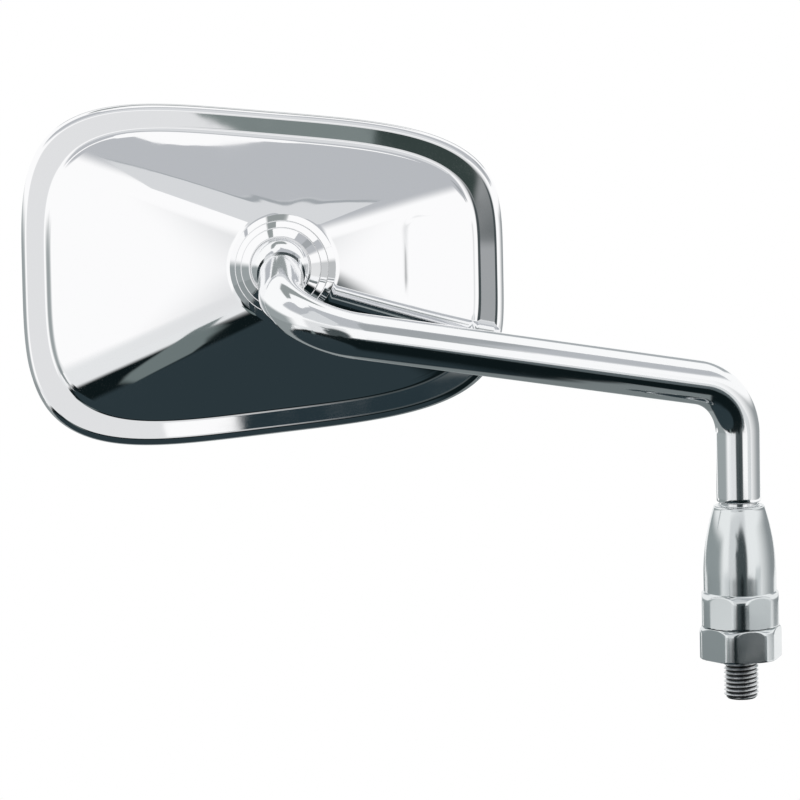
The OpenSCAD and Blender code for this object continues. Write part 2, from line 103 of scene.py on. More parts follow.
class HeadSizes(bpy.types.PropertyGroup):
    """Sizes of the mirror head, measured from the middle of the ball."""
    width: length("Width", "Width of the head", 138.2)
    height: length("Height", "Height of the head at its middle", 92.6)
    edge_slope: turn("Edge slope", "Slope of the long edges", 6)
    tall_power: FloatProperty(name="Tall corners", description="Squareness of the corners at the tall side",
                              default=3.65)
    low_power: FloatProperty(name="Low corners", description="Squareness of the corners at the low side",
                             default=4.15)
    off_x: length("Ball to the right", "Distance of the ball to the right of the middle", 8.1)
    off_y: length("Ball up", "Distance of the ball above the middle", 1.7)
    band_depth: length("Band depth", "Depth of the flat band behind the ball", 21)
    band: length("Band", "Width of the flat band", 4.4)
    rim_radius: length("Rim radius", "Radius of the outer edge of the rim", 2.2)
    cove: length("Cove", "Width of the hollow between dome and band", 1.8)
    side: length("Side", "Depth of the rim's side wall", 6)
    wall: length("Wall", "Wall of the shell", 2.2)
    rim_wall: length("Rim wall", "Wall round the glass", 1.8)
    lip: length("Lip", "Reach of the lip over the glass", 2.6)
    lip_thick: length("Lip thickness", "Thickness of the lip", 1)
    bulge: FloatProperty(name="Bulge", description="Fullness of the dome, where 0 is straight", default=0.1)
    collar: length("Collar", "Diameter of the outer collar ring", 29.9)
    collar_foot: length("Collar foot", "Depth of the collar's foot behind the ball", 6.5)
    mouth: length("Mouth", "Diameter of the collar's mouth", 16.4)
    mouth_rise: length("Mouth height", "Height of the mouth above the ball's middle", 2.1)
    panel_x: length("Panel X", "Place of the bare panel to the right of the ball", 41)
    panel_y: length("Panel Y", "Place of the bare panel above the ball", 1.0)
    panel_wide: length("Panel width", "Width of the bare panel", 16)
    panel_high: length("Panel height", "Height of the bare panel", 27)
    panel_rise: length("Panel rise", "Rise of the bare panel from the dome", 0.15)


class GlassSizes(bpy.types.PropertyGroup):
    """Sizes of the convex glass and its rubber seat."""
    thick: length("Thickness", "Thickness of the glass", 2)
    radius: length("Radius", "Radius of the convex face", 1200)
    sink: length("Sink", "Depth of the glass behind the front of the lip", 0.75)
    bite: length("Bite", "Depth of the rubber round the edge of the glass", 0.6)
    rubber: length("Rubber", "Width of the rubber seat", 1.6)
    fit: length("Fit", "Play between shell and rubber", 0.05)


class StemSizes(bpy.types.PropertyGroup):
    """Sizes of the bent stem."""
    bar: length("Bar", "Diameter of the bar", 12.6)
    foot: length("Foot", "Diameter of the turned-down foot", 11)
    foot_from: length("Foot from", "Height at which the foot starts", 27.85)
    shoulder: length("Shoulder", "Height of the bar's shoulder", 45.2)
    bend: length("Bend", "Radius of both bends", 16)
    corner: length("Corner", "Height of the lower corner", 78.1)
    reach: length("Reach", "Reach of the arm, seen from above", 140.7)
    swing: turn("Swing", "Swing of the arm", 25.2)
    rise: turn("Rise", "Climb of the arm", 11.2)
    ball: length("Ball", "Diameter of the ball", 17)


class FootSizes(bpy.types.PropertyGroup):
    """Sizes of the clamp nut and of the adapter below it."""
    base_flats: length("Lower flats", "Width across the flats of the lower hexagon", 22)
    base_bar: length("Lower bar", "Diameter of the lower hexagon's bar", 23.8)
    base_height: length("Lower height", "Height of the lower hexagon", 9.4)
    base_crown: length("Lower crown", "Height of the rounded top of the lower hexagon", 1.8)
    base_crown_radius: length("Lower crown radius", "Radius of that rounding", 2.1)
    base_turn: turn("Lower turn", "Turn of the lower hexagon", 10)
    stud: length("Stud", "Diameter of the mounting thread", 10)
    stud_length: length("Stud length", "Length of the mounting thread", 12)
    stud_pitch: length("Stud pitch", "Pitch of the mounting thread", 1.25)
    boss: length("Boss", "Diameter of the thread inside the nut", 16)
    boss_length: length("Boss length", "Length of the thread inside the nut", 17)
    boss_pitch: length("Boss pitch", "Pitch of the thread inside the nut", 1.5)
    nut_from: length("Nut from", "Height at which the nut starts", 9.6)
    nut_height: length("Nut height", "Height of the nut", 34.6)
    nut_flats: length("Nut flats", "Width across the nut's flats", 22)
    nut_bar: length("Nut bar", "Diameter of the nut's bar", 23.6)
    nut_strip: length("Nut strip", "Height of the nut's flats at a corner", 7.4)
    nut_crown_radius: length("Nut crown radius", "Radius between hexagon and bullet", 2.8)
    nut_turn: turn("Nut turn", "Turn of the nut's hexagon", 25)
    bullet: length("Bullet", "Diameter of the bullet", 20.8)
    bullet_top: length("Bullet top", "Diameter of the bullet's top edge", 14.4)
    bullet_from: length("Bullet from", "Height at which the bullet rounds in", 14.3)
    bullet_edge: length("Bullet edge", "Rounding of the bullet's top edge", 0.6)


class FinishColours(bpy.types.PropertyGroup):
    """Colours of the finishes."""
    shell: colour("Shell", "Plated shell", "#FBFBFC")
    bar: colour("Bar", "Plated bar", "#F8F9FA")
    foot: colour("Foot", "Plated nut and adapter", "#E3E7E8")
    thread: colour("Thread", "Plate on the thread", "#FAFBFC")
    steel: colour("Steel", "Zinc-plated steel", "#9EA3A6")
    brass: colour("Brass", "Brass washers", "#C9A25F")
    nylon: colour("Nylon", "Nylon liner", "#DAD6CA")
    foam: colour("Foam", "Foam pad", "#3B3C3F")
    rubber: colour("Rubber", "Rubber seat", "#1B1C1D")
    glass: colour("Glass", "Silvered glass", "#E4E9EB")


class StageSettings(bpy.types.PropertyGroup):
    """The camera and the floor."""
    camera_x: length("Camera X", "Place of the camera", -96.2)
    camera_y: length("Camera Y", "Place of the camera", -1030.7)
    camera_z: length("Camera Z", "Place of the camera", 214.6)
    pitch: turn("Pitch", "Downward look of the camera", 7.6)
    roll: turn("Roll", "Roll of the camera", 1.53)
    lens: FloatProperty(name="Lens", description="Focal length on a 36 mm sensor, in mm", default=164.07)
    floor: length("Floor", "Height of the floor", -1500)
    floor_size: FloatProperty(name="Floor size", description="Half the width of the floor", default=60,
                              unit="LENGTH")


# Shapes

def signed_power(x, p):
    """A power that keeps the sign."""
    return math.copysign(abs(x) ** p, x)


def rim_point(head, angle, inset):
    """A point of the head's outline, moved inwards by the inset, from the ball's middle."""
    bow = 2 / (head.tall_power if math.cos(angle) < 0 else head.low_power)
    u = (head.width / 2 - inset) * signed_power(math.cos(angle), bow)
    half = head.height / 2 - inset - math.tan(head.edge_slope) * u
    return u - head.off_x, half * signed_power(math.sin(angle), bow) - head.off_y


def rim_facing(head, angle, inset):
    """The direction in which the outline faces there."""
    step = math.radians(0.4)
    ax, ay = rim_point(head, angle + step, inset)
    bx, by = rim_point(head, angle - step, inset)
    size = math.hypot(ay - by, bx - ax)
    return (ay - by) / size, (bx - ax) / size


def rim_angles(head, inset, count):
    """Outline angles that are evenly spread by length and by turn, so the corners get more."""
    fine = 7200
    angles = [2 * math.pi * (i + 0.5) / fine for i in range(fine)]
    points = [rim_point(head, a, inset) for a in angles]
    facing = [rim_facing(head, a, inset) for a in angles]
    total = [0.0]
    for i in range(fine):
        j = (i + 1) % fine
        run = math.hypot(points[j][0] - points[i][0], points[j][1] - points[i][1])
        bend = math.hypot(facing[j][0] - facing[i][0], facing[j][1] - facing[i][1])
        total.append(total[-1] + run + CORNER_WEIGHT * bend)
    chosen, k = [], 0
    for i in range(count):
        goal = total[-1] * i / count
        while total[k + 1] < goal:
            k += 1
        share = (goal - total[k]) / (total[k + 1] - total[k])
        chosen.append(angles[k] + share * 2 * math.pi / fine)
    return chosen


def rounded(path, steps=6):
    """A path of (x, z, radius) with each corner rounded, and held by a point beside each rounding."""
    out = [path[0][:2]]
    for before, here, after in zip(path, path[1:], path[2:]):
        corner = Vector(here[:2])
        back = Vector(before[:2]) - corner
        on = Vector(after[:2]) - corner
        radius = here[2]
        angle = back.angle(on, math.pi)
        if radius <= 0 or angle > math.pi - 1e-3:
            out.append(tuple(corner))
            continue
        reach = min(radius / math.tan(angle / 2), 0.48 * back.length, 0.48 * on.length)
        radius = reach * math.tan(angle / 2)
        start = corner + back.normalized() * reach
        end = corner + on.normalized() * reach
        middle = corner + (back.normalized() + on.normalized()).normalized() * radius / math.sin(angle / 2)
        if back.length > reach + 2 * HOLD:
            out.append(tuple(start + back.normalized() * HOLD))
        sweep = math.pi - angle
        side = 1 if back.x * on.y - back.y * on.x < 0 else -1
        arm = start - middle
        for i in range(steps + 1):
            a = side * sweep * i / steps
            out.append((middle.x + arm.x * math.cos(a) - arm.y * math.sin(a),
                        middle.y + arm.x * math.sin(a) + arm.y * math.cos(a)))
        if on.length > reach + 2 * HOLD:
            out.append(tuple(end + on.normalized() * HOLD))
    out.append(path[-1][:2])
    return out


def skin(rings, loop):
    """The rings' points and the faces between them. A loop joins the last ring to the first, else a
    pole closes each end."""
    n = len(rings[0])
    points = [p for ring in rings for p in ring]
    faces = []
    last = len(rings) if loop else len(rings) - 1
    for j in range(last):
        a, b = j * n, ((j + 1) % len(rings)) * n
        for i in range(n):
            k = (i + 1) % n
            faces.append((a + i, a + k, b + k, b + i))
    if not loop:
        for ring, base, flip in ((rings[0], 0, True), (rings[-1], (len(rings) - 1) * n, False)):
            pole = len(points)
            points.append(tuple(sum(p[i] for p in ring) / n for i in range(3)))
            for i in range(n):
                k = (i + 1) % n
                faces.append((base + k, base + i, pole) if flip else (base + i, base + k, pole))
    return points, faces


def turned(profile, columns):
    """Rings of a turned shape from its (radius, height) profile."""
    turns = [2 * math.pi * i / columns for i in range(columns)]
    return [[(r * math.cos(a), r * math.sin(a), z) for a in turns] for r, z in profile]


def soft_min(a, b, k):
    """The smaller of two values, with the change between them rounded over k."""
    h = max(k - abs(a - b), 0) / k
    return min(a, b) - h * h * k / 4


def milled(profile, columns, flats, twist):
    """Rings of a turned shape with six flats milled on it."""
    edge = 0.3 * MM
    rings = []
    for r, z in profile:
        ring = []
        for i in range(columns):
            a = 2 * math.pi * i / columns
            off = (a - twist) % (math.pi / 3) - math.pi / 6
            radius = soft_min(r, flats / 2 / math.cos(off), edge)
            ring.append((radius * math.cos(a), radius * math.sin(a), z))
        rings.append(ring)
    return rings


def crown(r, z, radius, rise, steps):
    """A rounding that starts upright at (r, z) and leans in up to the rise."""
    out = []
    for i in range(steps + 1):
        h = rise * i / steps
        out.append((r - radius + math.sqrt(radius * radius - h * h), z + h))
    return out


def lower_edge(r, z, edge):
    """The rounded lower edge of a turned bar, from its end face up to its side."""
    return [(r - edge - HOLD, z), (r - edge, z), (r - 0.3 * edge, z + 0.15 * edge),
            (r - 0.06 * edge, z + 0.5 * edge), (r, z + edge), (r, z + edge + 0.1 * MM)]


def head_matrix():
    """The head's frame: X to its right, Y up, Z out of its back, from the ball's middle."""
    return Matrix.Translation(BALL) @ Matrix((HEAD_RIGHT, HEAD_UP, HEAD_BACK)).transposed().to_4x4()


# Pieces

def linked(name, data):
    """A new object in the scene."""
    thing = bpy.data.objects.new(name, data)
    bpy.context.scene.collection.objects.link(thing)
    return thing


def clean(mesh, sharp_degrees):
    """Merges doubles, turns the faces outward and sets smooth shading with sharp edges."""
    edit = bmesh.new()
    edit.from_mesh(mesh)
    bmesh.ops.remove_doubles(edit, verts=edit.verts, dist=1e-7)
    if edit.calc_volume(signed=True) < 0:
        bmesh.ops.reverse_faces(edit, faces=edit.faces)
    edit.to_mesh(mesh)
    edit.free()
    mesh.shade_smooth()
    mesh.set_sharp_from_angle(angle=math.radians(sharp_degrees))


def mesh_piece(name, points, faces, place=None, sharp_degrees=50):
    """A clean mesh object with its place in the mesh."""
    mesh = bpy.data.meshes.new(name)
    mesh.from_pydata([tuple(p) for p in points], [], faces)
    if place is not None:
        mesh.transform(place)
    clean(mesh, sharp_degrees)
    return linked(name, mesh)


def dress(piece, material, body, slot, *nodes):
    """Gives a piece its finish and its body, and hides the CAD nodes that it stands for. The slot is not
    used.
    """
    piece.data.materials.clear()
    piece.data.materials.append(material)
    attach(piece, body)
    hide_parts(*nodes)


def join_meshes(name, pieces):
    """One mesh object from several, which are removed."""
    edit = bmesh.new()
    for piece in pieces:
        edit.from_mesh(piece.data)
    mesh = bpy.data.meshes.new(name)
    edit.to_mesh(mesh)
    edit.free()
    mesh.set_sharp_from_angle(angle=math.radians(50))
    for piece in pieces:
        bpy.data.objects.remove(piece)
    return linked(name, mesh)


# Node trees

def add(tree, kind, inputs=None, **settings):
    """Adds a node with its settings. Inputs are values, or sockets to link from."""
    node = tree.nodes.new(kind)
    for key, value in settings.items():
        setattr(node, key, value)
    for key, value in (inputs or {}).items():
        if isinstance(value, bpy.types.NodeSocket):
            tree.links.new(value, node.inputs[key])
        else:
            node.inputs[key].default_value = value
    return node


def new_tree(name, sizes):
    """A Geometry Nodes tree with named inputs, its geometry input and output, and its input node."""
    tree = bpy.data.node_groups.new(name, "GeometryNodeTree")
    tree.interface.new_socket("Geometry", in_out="INPUT", socket_type="NodeSocketGeometry")
    for label, value in sizes.items():
        kind = "NodeSocketInt" if isinstance(value, int) else "NodeSocketFloat"
        socket = tree.interface.new_socket(label, in_out="INPUT", socket_type=kind)
        socket.default_value = value
    tree.interface.new_socket("Finish", in_out="INPUT", socket_type="NodeSocketMaterial")
    tree.interface.new_socket("Geometry", in_out="OUTPUT", socket_type="NodeSocketGeometry")
    return tree, tree.nodes.new("NodeGroupInput")


def close_tree(tree, source, geometry):
    """Ends a tree in Realize Instances and Set Material."""
    real = add(tree, "GeometryNodeRealizeInstances", {"Geometry": geometry})
    finish = add(tree, "GeometryNodeSetMaterial", {
        "Geometry": real.outputs[0], "Material": source.outputs["Finish"]})
    add(tree, "NodeGroupOutput", {"Geometry": finish.outputs[0]})


def grown(name, start, tree, sizes, material):
    """A plain mesh object from what a tree makes of the start mesh."""
    holder = linked(name, start)
    modifier = holder.modifiers.new("Shape", "NODES")
    modifier.node_group = tree
    named = {s.name: s.identifier for s in tree.interface.items_tree if s.in_out == "INPUT"}
    for label, value in sizes.items():
        modifier[named[label]] = value
    modifier[named["Finish"]] = material
    graph = bpy.context.evaluated_depsgraph_get()
    mesh = bpy.data.meshes.new_from_object(holder.evaluated_get(graph))
    holder.modifiers.clear()
    holder.data = mesh
    bpy.data.meshes.remove(start)
    mesh.name = name
    return holder


def swept_bar_tree():
    """Bends a line of points to a radius and sweeps the bar along it."""
    tree, source = new_tree("Bent bar", {"Bend radius": 0.016, "Bend steps": 48, "Sides": 128})
    line = add(tree, "GeometryNodeMeshToCurve", {"Mesh": source.outputs["Geometry"]})
    bent = add(tree, "GeometryNodeFilletCurve", {
        "Curve": line.outputs[0], "Radius": source.outputs["Bend radius"],
        "Count": source.outputs["Bend steps"]}, mode="POLY")
    thick = add(tree, "GeometryNodeInputNamedAttribute", {"Name": "bar_radius"}, data_type="FLOAT")
    ring = add(tree, "GeometryNodeCurvePrimitiveCircle", {
        "Resolution": source.outputs["Sides"], "Radius": 1.0})
    swept = add(tree, "GeometryNodeCurveToMesh", {
        "Curve": bent.outputs[0], "Profile Curve": ring.outputs[0], "Scale": thick.outputs["Attribute"],
        "Fill Caps": True})
    close_tree(tree, source, swept.outputs[0])
    return tree


def thread_tree():
    """Wraps a grid into a screw thread that runs down from its top, with a tapered tip and closed ends."""
    tree, source = new_tree("Screw thread", {
        "Radius": 0.005, "Pitch": 0.00125, "Depth": 0.0007, "Length": 0.012, "Tip": 0.0012,
        "Columns": 97, "Rows": 130, "Hand": 1.0})

    def calc(operation, *values):
        return add(tree, "ShaderNodeMath", dict(enumerate(values)), operation=operation).outputs[0]

    size = source.outputs
    grid = add(tree, "GeometryNodeMeshGrid", {
        "Size X": 1.0, "Size Y": 1.0, "Vertices X": size["Columns"], "Vertices Y": size["Rows"]})
    place = add(tree, "GeometryNodeInputPosition")
    split = add(tree, "ShaderNodeSeparateXYZ", {"Vector": place.outputs[0]})
    angle = calc("MULTIPLY", split.outputs["X"], 2 * math.pi)
    step = calc("DIVIDE", 1.0, calc("SUBTRACT", size["Rows"], 1.0))
    span = calc("SUBTRACT", 1.0, calc("MULTIPLY", step, 2.0))
    down = calc("DIVIDE", calc("SUBTRACT", calc("SUBTRACT", 0.5, split.outputs["Y"]), step), span)
    within = calc("MINIMUM", calc("MAXIMUM", down, 0.0), 1.0)
    drop = calc("MULTIPLY", within, size["Length"])
    winds = calc("ADD", calc("DIVIDE", drop, size["Pitch"]),
                 calc("MULTIPLY", split.outputs["X"], size["Hand"]))
    turn_part = calc("FRACT", calc("ADD", winds, 64.0))
    wave = calc("MULTIPLY", calc("ABSOLUTE", calc("SUBTRACT", turn_part, 0.5)), 2.0)
    # Flat crest and root, with straight flanks whose ends are eased
    flank = calc("MINIMUM", calc("MAXIMUM", calc("DIVIDE", calc("SUBTRACT", wave, 0.12), 0.74), 0.0), 1.0)
    ease = calc("MULTIPLY", calc("MULTIPLY", flank, flank),
                calc("SUBTRACT", 3.0, calc("MULTIPLY", flank, 2.0)))
    cut = calc("ADD", calc("MULTIPLY", ease, 0.35), calc("MULTIPLY", flank, 0.65))
    threaded = calc("SUBTRACT", size["Radius"], calc("MULTIPLY", cut, size["Depth"]))
    tip = calc("ADD", calc("SUBTRACT", size["Radius"], size["Tip"]), calc("SUBTRACT", size["Length"], drop))
    shaped = calc("MINIMUM", threaded, tip)
    closed = calc("LESS_THAN", calc("ABSOLUTE", calc("SUBTRACT", down, 0.5)), 0.5 + 1e-4)
    radius = calc("MULTIPLY", shaped, closed)
    spot = add(tree, "ShaderNodeCombineXYZ", {
        "X": calc("MULTIPLY", radius, calc("COSINE", angle)),
        "Y": calc("MULTIPLY", radius, calc("SINE", angle)),
        "Z": calc("MULTIPLY", drop, -1.0)})
    wrapped = add(tree, "GeometryNodeSetPosition", {
        "Geometry": grid.outputs[0], "Position": spot.outputs[0]})
    merged = add(tree, "GeometryNodeMergeByDistance", {
        "Geometry": wrapped.outputs[0], "Distance": 1e-6})
    close_tree(tree, source, merged.outputs[0])
    return tree


# Finishes

def new_material(name):
    """A node material without any nodes, and its tree."""
    material = bpy.data.materials.new(name)
    material.use_nodes = True
    material.node_tree.nodes.clear()
    return material, material.node_tree


def close_material(tree, inputs):
    """Ends a material's tree in its shader and its output."""
    shader = add(tree, "ShaderNodeBsdfPrincipled", inputs)
    add(tree, "ShaderNodeOutputMaterial", {"Surface": shader.outputs[0]})


def surface_noise(tree, size_mm, detail=2.0):
    """Noise on Object coordinates, whose cells are about size_mm across."""
    coords = add(tree, "ShaderNodeTexCoord")
    noise = add(tree, "ShaderNodeTexNoise", {
        "Vector": coords.outputs["Object"], "Scale": 1 / (size_mm * MM), "Detail": detail})
    return noise.outputs["Fac"]


def chrome(name, tint, smooth, hazed, wave_mm, wave_um):
    """Chrome plate: a mirror with a faint wander from polishing and plating, and thin haze in patches.
    smooth and hazed are the roughness of the clean plate and of the hazed patches."""
    material, tree = new_material(name)
    haze = surface_noise(tree, HAZE_MM, 5.0)
    rough = add(tree, "ShaderNodeMapRange", {
        "Value": haze, "From Min": 0.45, "From Max": 0.75, "To Min": smooth, "To Max": hazed})
    wave = surface_noise(tree, wave_mm, 1.0)
    bump = add(tree, "ShaderNodeBump", {"Height": wave, "Strength": 1.0, "Distance": wave_um * 1e-6})
    close_material(tree, {"Base Color": tint, "Metallic": 1.0, "Roughness": rough.outputs[0],
                          "Normal": bump.outputs[0]})
    return material


def thread_plate_with_painted_root_shade(name, tint, root_mm, crest_mm):
    """Chrome on a cut thread: dull plate on the crests, darkened into the roots by painted shade.
    root_mm and crest_mm are the distances from the thread's axis between which the painted shade fades out."""
    material, tree = new_material(name)
    coords = add(tree, "ShaderNodeTexCoord")
    flat = add(tree, "ShaderNodeMapping", {"Vector": coords.outputs["Object"], "Scale": (1, 1, 0)})
    away = add(tree, "ShaderNodeVectorMath", {0: flat.outputs[0]}, operation="LENGTH")
    depth = add(tree, "ShaderNodeMapRange", {
        "Value": away.outputs["Value"], "From Min": root_mm * MM, "From Max": crest_mm * MM})
    # Painted shade: the roots are darkened to 3% of the tint, standing in for the shade in the thread's
    # grooves
    dark = [c * 0.03 for c in tint[:3]] + [1.0]
    ramp = add(tree, "ShaderNodeMix", {"Factor": depth.outputs[0], 6: dark, 7: tint}, data_type="RGBA")
    grain = surface_noise(tree, 0.5, 3.0)
    rough = add(tree, "ShaderNodeMapRange", {"Value": grain, "To Min": 0.24, "To Max": 0.36})
    close_material(tree, {"Base Color": ramp.outputs[2], "Metallic": 1.0, "Roughness": rough.outputs[0]})
    return material


def grained(name, tint, low, high, grain_mm, grain_um, detail, shade, ior=None):
    """A satin or matt surface whose fine grain shows in its colour, its gloss and its height.
    shade is how much of the tint the dark grain keeps. Without an ior it is a metal."""
    material, tree = new_material(name)
    grain = surface_noise(tree, grain_mm, detail)
    dark = [c * shade for c in tint[:3]] + [1.0]
    ramp = add(tree, "ShaderNodeMix", {"Factor": grain, 6: dark, 7: tint}, data_type="RGBA")
    rough = add(tree, "ShaderNodeMapRange", {"Value": grain, "To Min": low, "To Max": high})
    bump = add(tree, "ShaderNodeBump", {"Height": grain, "Strength": 1.0, "Distance": grain_um * 1e-6})
    kind = {"Metallic": 1.0} if ior is None else {"IOR": ior}
    close_material(tree, {"Base Color": ramp.outputs[2], "Roughness": rough.outputs[0],
                          "Normal": bump.outputs[0], **kind})
    return material


# Each finish has its real name, the function that makes it and that function's numbers
FINISHES = {
    # The clearest mirror, whose images wander a little with the moulding under the plate
    "shell": ("Chrome on moulded shell", chrome, (0.02, 0.06, 9, 6)),
    # A bright mirror, softened a little by the polishing of the bar
    "bar": ("Chrome on drawn bar", chrome, (0.07, 0.12, 7, 3)),
    # A greyer, softer mirror, because turning marks stay under its thin plate
    "foot": ("Chrome on turned brass", chrome, (0.12, 0.2, 3, 3)),
    # Pale crests between roots blackened by painted shade
    "thread": ("Chrome on cut thread", thread_plate_with_painted_root_shade, (4.34, 4.6)),
    # Dull blue-grey metal with a fine sparkle
    "steel": ("Zinc-plated steel", grained, (0.3, 0.5, 0.4, 4, 3.0, 0.82)),
    # Warm yellow metal, a little tarnished
    "brass": ("Plain brass", grained, (0.25, 0.4, 0.5, 3, 3.0, 0.82)),
    # Milky plastic with a soft gloss
    "nylon": ("Moulded nylon", grained, (0.4, 0.55, 0.6, 6, 4.0, 0.7, 1.53)),
    # Dead matt with open cells
    "foam": ("Open foam", grained, (0.85, 1.0, 0.9, 250, 4.0, 0.7, 1.45)),
    # Near-black with a low sheen and the mould's fine grain
    "rubber": ("Moulded rubber", grained, (0.5, 0.68, 0.35, 12, 4.0, 0.7, 1.52)),
    # A flawless mirror, darkened a little by the glass in front of the silver
    "glass": ("Silvered glass", chrome, (0.0, 0.02, 40, 0.5)),
}


def finish_of(key):
    """The finish of that name, made the first time that it is asked for."""
    name, maker, numbers = FINISHES[key]
    tint = list(getattr(bpy.context.scene.mirror_colours, key))
    return bpy.data.materials.get(name) or maker(name, tint, *numbers)


# Operators

def panel_rise(head, x, y):
    """How far the bare panel lifts the dome there: a rounded rectangle with soft edges."""
    corner, soft = 5 * MM, 2 * MM
    dx = max(abs(x - head.panel_x) - head.panel_wide / 2 + corner, 0)
    dy = max(abs(y - head.panel_y) - head.panel_high / 2 + corner, 0)
    t = min(max((corner - math.hypot(dx, dy)) / soft, 0), 1)
    low = min(max((y - head.panel_y + head.panel_high / 2) / (10 * MM), 0), 1)
    return head.panel_rise * t * t * (3 - 2 * t) * low * low * (3 - 2 * low)


def make_shell(head):
    """Rings of the shell, from the mouth over the collar, dome and rim, and back inside to the seat."""
    foot_inset = head.rim_radius + head.band + head.cove
    angles = rim_angles(head, foot_inset, SHELL_COLUMNS)
    facing = [rim_facing(head, a, foot_inset) for a in angles]
    band_z = -head.band_depth
    dome_r, dome_top = head.collar / 2 + 0.3 * MM, -head.collar_foot - 0.05 * MM
    foot_z = band_z + head.cove / 2

    def circle(r, z):
        return [(r * x, r * y, z) for x, y in facing]

    def rim(inset, z):
        return [(*rim_point(head, a, inset), z) for a in angles]

    def dome(t, inside):
        fall = t + head.bulge * t * (t - 1)
        ring = []
        for a, (x, y) in zip(angles, facing):
            px, py = rim_point(head, a, foot_inset)
            u, v = dome_r * x, dome_r * y
            u, v = u + t * (px - u), v + t * (py - v)
            lift = -inside if inside else panel_rise(head, u, v)
            ring.append((u, v, dome_top + (foot_z - dome_top) * fall + lift))
        return ring

    # The collar: a mouth, then three cones, the upper two with a narrow ledge at the foot
    top, mouth, wide = head.mouth_rise, head.mouth / 2, head.collar / 2
    land, ledge, soft = top - 0.8 * MM, 0.25 * MM, 0.25 * MM
    collar = [(mouth, land, 0), (mouth, top, 0.15 * MM), (mouth + 0.55 * MM, top, 0.3 * MM)]
    for r, drop in COLLAR_FEET:
        z = top - drop
        collar += [(r, z, soft), (r, z - ledge, 0.06 * MM), (r + ledge, z - ledge, 0.06 * MM)]
    collar += [(wide, top - 6.8 * MM, soft), (wide, 0.1 * MM - head.collar_foot, 0)]
    rings = [circle(r, z) for r, z in rounded(collar)]
    rings += [dome(k / DOME_STEPS, 0) for k in range(DOME_STEPS + 1)]
    # The hollow at the dome's foot, then the flat band and the rounded edge of the rim
    run = 1.1 * head.cove
    sweep = 2 * math.atan2(head.cove / 2, run)
    arc = run / math.sin(sweep)
    flat_inset = foot_inset - run
    for k in range(1, 9):
        a = sweep * (1 - k / 8)
        rings.append(rim(flat_inset + arc * math.sin(a), band_z + arc * (1 - math.cos(a))))
    for share in (0.05, 0.35, 0.65, 0.97):
        rings.append(rim(flat_inset + share * (head.rim_radius - flat_inset), band_z))
    for k in range(11):
        a = math.pi / 2 * k / 10
        rings.append(rim(head.rim_radius * (1 - math.sin(a)), band_z - head.rim_radius * (1 - math.cos(a))))
    # The side wall and the lip over the glass
    side_z = band_z - head.rim_radius
    lip_in = side_z - head.side + head.lip_thick
    rings += [rim(0, side_z - 0.15 * MM), rim(0, lip_in + 0.15 * MM)]
    for k in range(7):
        a = math.pi / 2 * k / 6
        rings.append(rim(head.lip_thick * (1 - math.cos(a)), lip_in - head.lip_thick * math.sin(a)))
    lip_out = lip_in - head.lip_thick
    for inset, z in rounded([(head.lip_thick + 0.15 * MM, lip_out, 0), (head.lip, lip_out, 0.3 * MM),
                             (head.lip, lip_in, 0.1 * MM), (head.rim_wall, lip_in, 0)], 5):
        rings.append(rim(inset, z))
    # Back inside: the room for the glass, the inner dome, the tube round the spring, and the ball's seat
    rings += [rim(head.rim_wall, side_z - 0.6 * MM), rim(head.rim_radius + 0.8 * MM, band_z - head.wall)]
    inside = 1.1 * head.wall
    rings += [dome(k / 12, inside) for k in range(12, -1, -1)]
    bore, tube, tube_end = 11.05 * MM, 13.05 * MM, -19.0 * MM
    seat = bpy.context.scene.mirror_stem.ball / 2 + 0.05 * MM
    for r, z in ((tube, dome_top - inside), (tube, tube_end), (bore, tube_end), (bore, -3 * MM),
                 (seat, -1.2 * MM), (seat, 0)):
        rings.append(circle(r, z))
    rise = math.asin(min(1, land / seat))
    for k in range(1, 6):
        a = rise * k / 6
        rings.append(circle(max(mouth, seat * math.cos(a)), seat * math.sin(a)))
    return skin(rings, True)


class MIRROR_OT_shell(bpy.types.Operator):
    """Builds the plated shell of the head with its stepped collar and rim"""
    bl_idname = "mirror.shell"
    bl_label = "Shell"

    def execute(self, context):
        piece = mesh_piece("head_shell", *make_shell(context.scene.mirror_head), head_matrix())
        dress(piece, finish_of("shell"), "head", "head_chrome", "housing")
        return {"FINISHED"}


